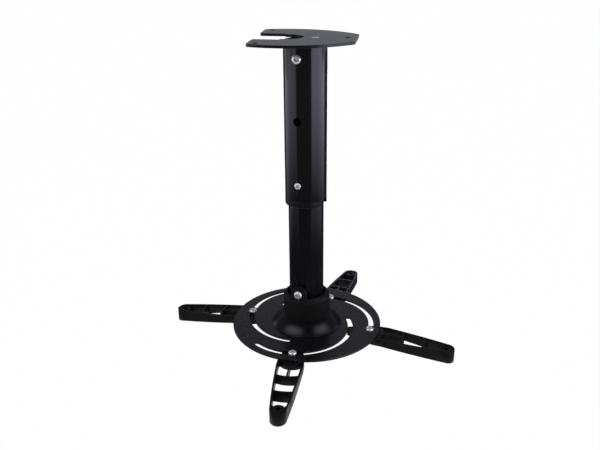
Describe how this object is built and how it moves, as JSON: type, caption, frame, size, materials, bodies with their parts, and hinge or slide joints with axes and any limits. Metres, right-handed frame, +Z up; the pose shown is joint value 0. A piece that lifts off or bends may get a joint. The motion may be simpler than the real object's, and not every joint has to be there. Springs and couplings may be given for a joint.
{
  "type": "projector mount",
  "caption": "Ceiling projector mount: slotted plate, telescopic tube column, tilting cup on a domed disc with spiral slots, and swinging arms that screw to a projector.",
  "frame": {"origin": "on the ceiling plate's top face, at the column's axis", "axes": "+Z up into the ceiling along the column, +X along the plate towards its narrow end"},
  "size_m": [0.3505, 0.3406, 0.3656],
  "materials": {
    "black_steel": "satin powder coat",
    "black_plastic": "matte moulded",
    "bright_zinc": "bright zinc plated"
  },
  "bodies": {
    "ceiling": {"ceiling_plate": "black_steel", "neck_spigot": "black_steel", "plate_screw": "bright_zinc"},
    "outer_column": {"outer_tube": "black_steel", "tube_bush": "black_plastic", "column_lock_bolt": "bright_zinc", "height_clamp_bolt": "bright_zinc"},
    "inner_column": {"inner_tube": "black_steel", "guide_ring": "black_plastic", "tilt_bolt": "bright_zinc", "tilt_washer": "bright_zinc", "tilt_nut": "bright_zinc"},
    "cup": {"tilt_cup": "black_steel", "swivel_bolt": "bright_zinc", "swivel_washers": "bright_zinc", "swivel_nut": "bright_zinc"},
    "disc": {"dome_cap": "black_steel", "arm_disc": "black_steel"},
    "left_slider": {"left_arm_screw": "bright_zinc"},
    "left_arm": {"left_arm": "black_plastic", "left_arm_nut": "bright_zinc"},
    "front_slider": {"front_arm_screw": "bright_zinc"},
    "front_arm": {"front_arm": "black_plastic", "front_arm_nut": "bright_zinc"},
    "right_slider": {"right_arm_screw": "bright_zinc"},
    "right_arm": {"right_arm": "black_plastic", "right_arm_nut": "bright_zinc"},
    "back_slider": {"back_arm_screw": "bright_zinc"},
    "back_arm": {"back_arm": "black_plastic", "back_arm_nut": "bright_zinc"}
  },
  "joints": [
    {"name": "column_swivel", "type": "hinge", "parent": "ceiling", "child": "outer_column", "pos_m": [0, 0, -0.0192], "axis": [0, 0, 1], "continuous": true},
    {"name": "height_slide", "type": "slide", "parent": "outer_column", "child": "inner_column", "axis": [0, 0, 1], "range_m": [0, 0.085]},
    {"name": "tilt", "type": "hinge", "parent": "inner_column", "child": "cup", "pos_m": [0, 0, -0.2946], "axis": [-0.2419, -0.9703, 0], "range_deg": [-15, 15]},
    {"name": "disc_swivel", "type": "hinge", "parent": "cup", "child": "disc", "pos_m": [0, 0, -0.342], "axis": [0, 0, 1], "continuous": true},
    {"name": "left_slot", "type": "hinge", "parent": "disc", "child": "left_slider", "pos_m": [-0.00689, 0.01388, -0.342], "axis": [0, 0, 1], "range_deg": [-60, 60]},
    {"name": "left_pivot", "type": "hinge", "parent": "left_slider", "child": "left_arm", "pos_m": [-0.07028, 0.01278, -0.3446], "axis": [0, 0, 1], "range_deg": [-45, 45]},
    {"name": "front_slot", "type": "hinge", "parent": "disc", "child": "front_slider", "pos_m": [-0.00858, -0.01291, -0.342], "axis": [0, 0, 1], "range_deg": [-43, 60]},
    {"name": "front_pivot", "type": "hinge", "parent": "front_slider", "child": "front_arm", "pos_m": [-0.00471, -0.07619, -0.3446], "axis": [0, 0, 1], "range_deg": [-45, 45]},
    {"name": "right_slot", "type": "hinge", "parent": "disc", "child": "right_slider", "pos_m": [0.01547, -0.00097, -0.342], "axis": [0, 0, 1], "range_deg": [-0.9, 57.5]},
    {"name": "right_pivot", "type": "hinge", "parent": "right_slider", "child": "right_arm", "pos_m": [0.07812, -0.01067, -0.3446], "axis": [0, 0, 1], "range_deg": [-45, 45]},
    {"name": "back_slot", "type": "hinge", "parent": "disc", "child": "back_slider", "pos_m": [0.01547, -0.00097, -0.342], "axis": [0, 0, 1], "range_deg": [-55, 58]},
    {"name": "back_pivot", "type": "hinge", "parent": "back_slider", "child": "back_arm", "pos_m": [0.02166, 0.06212, -0.3446], "axis": [0, 0, 1], "range_deg": [-45, 45]}
  ]
}
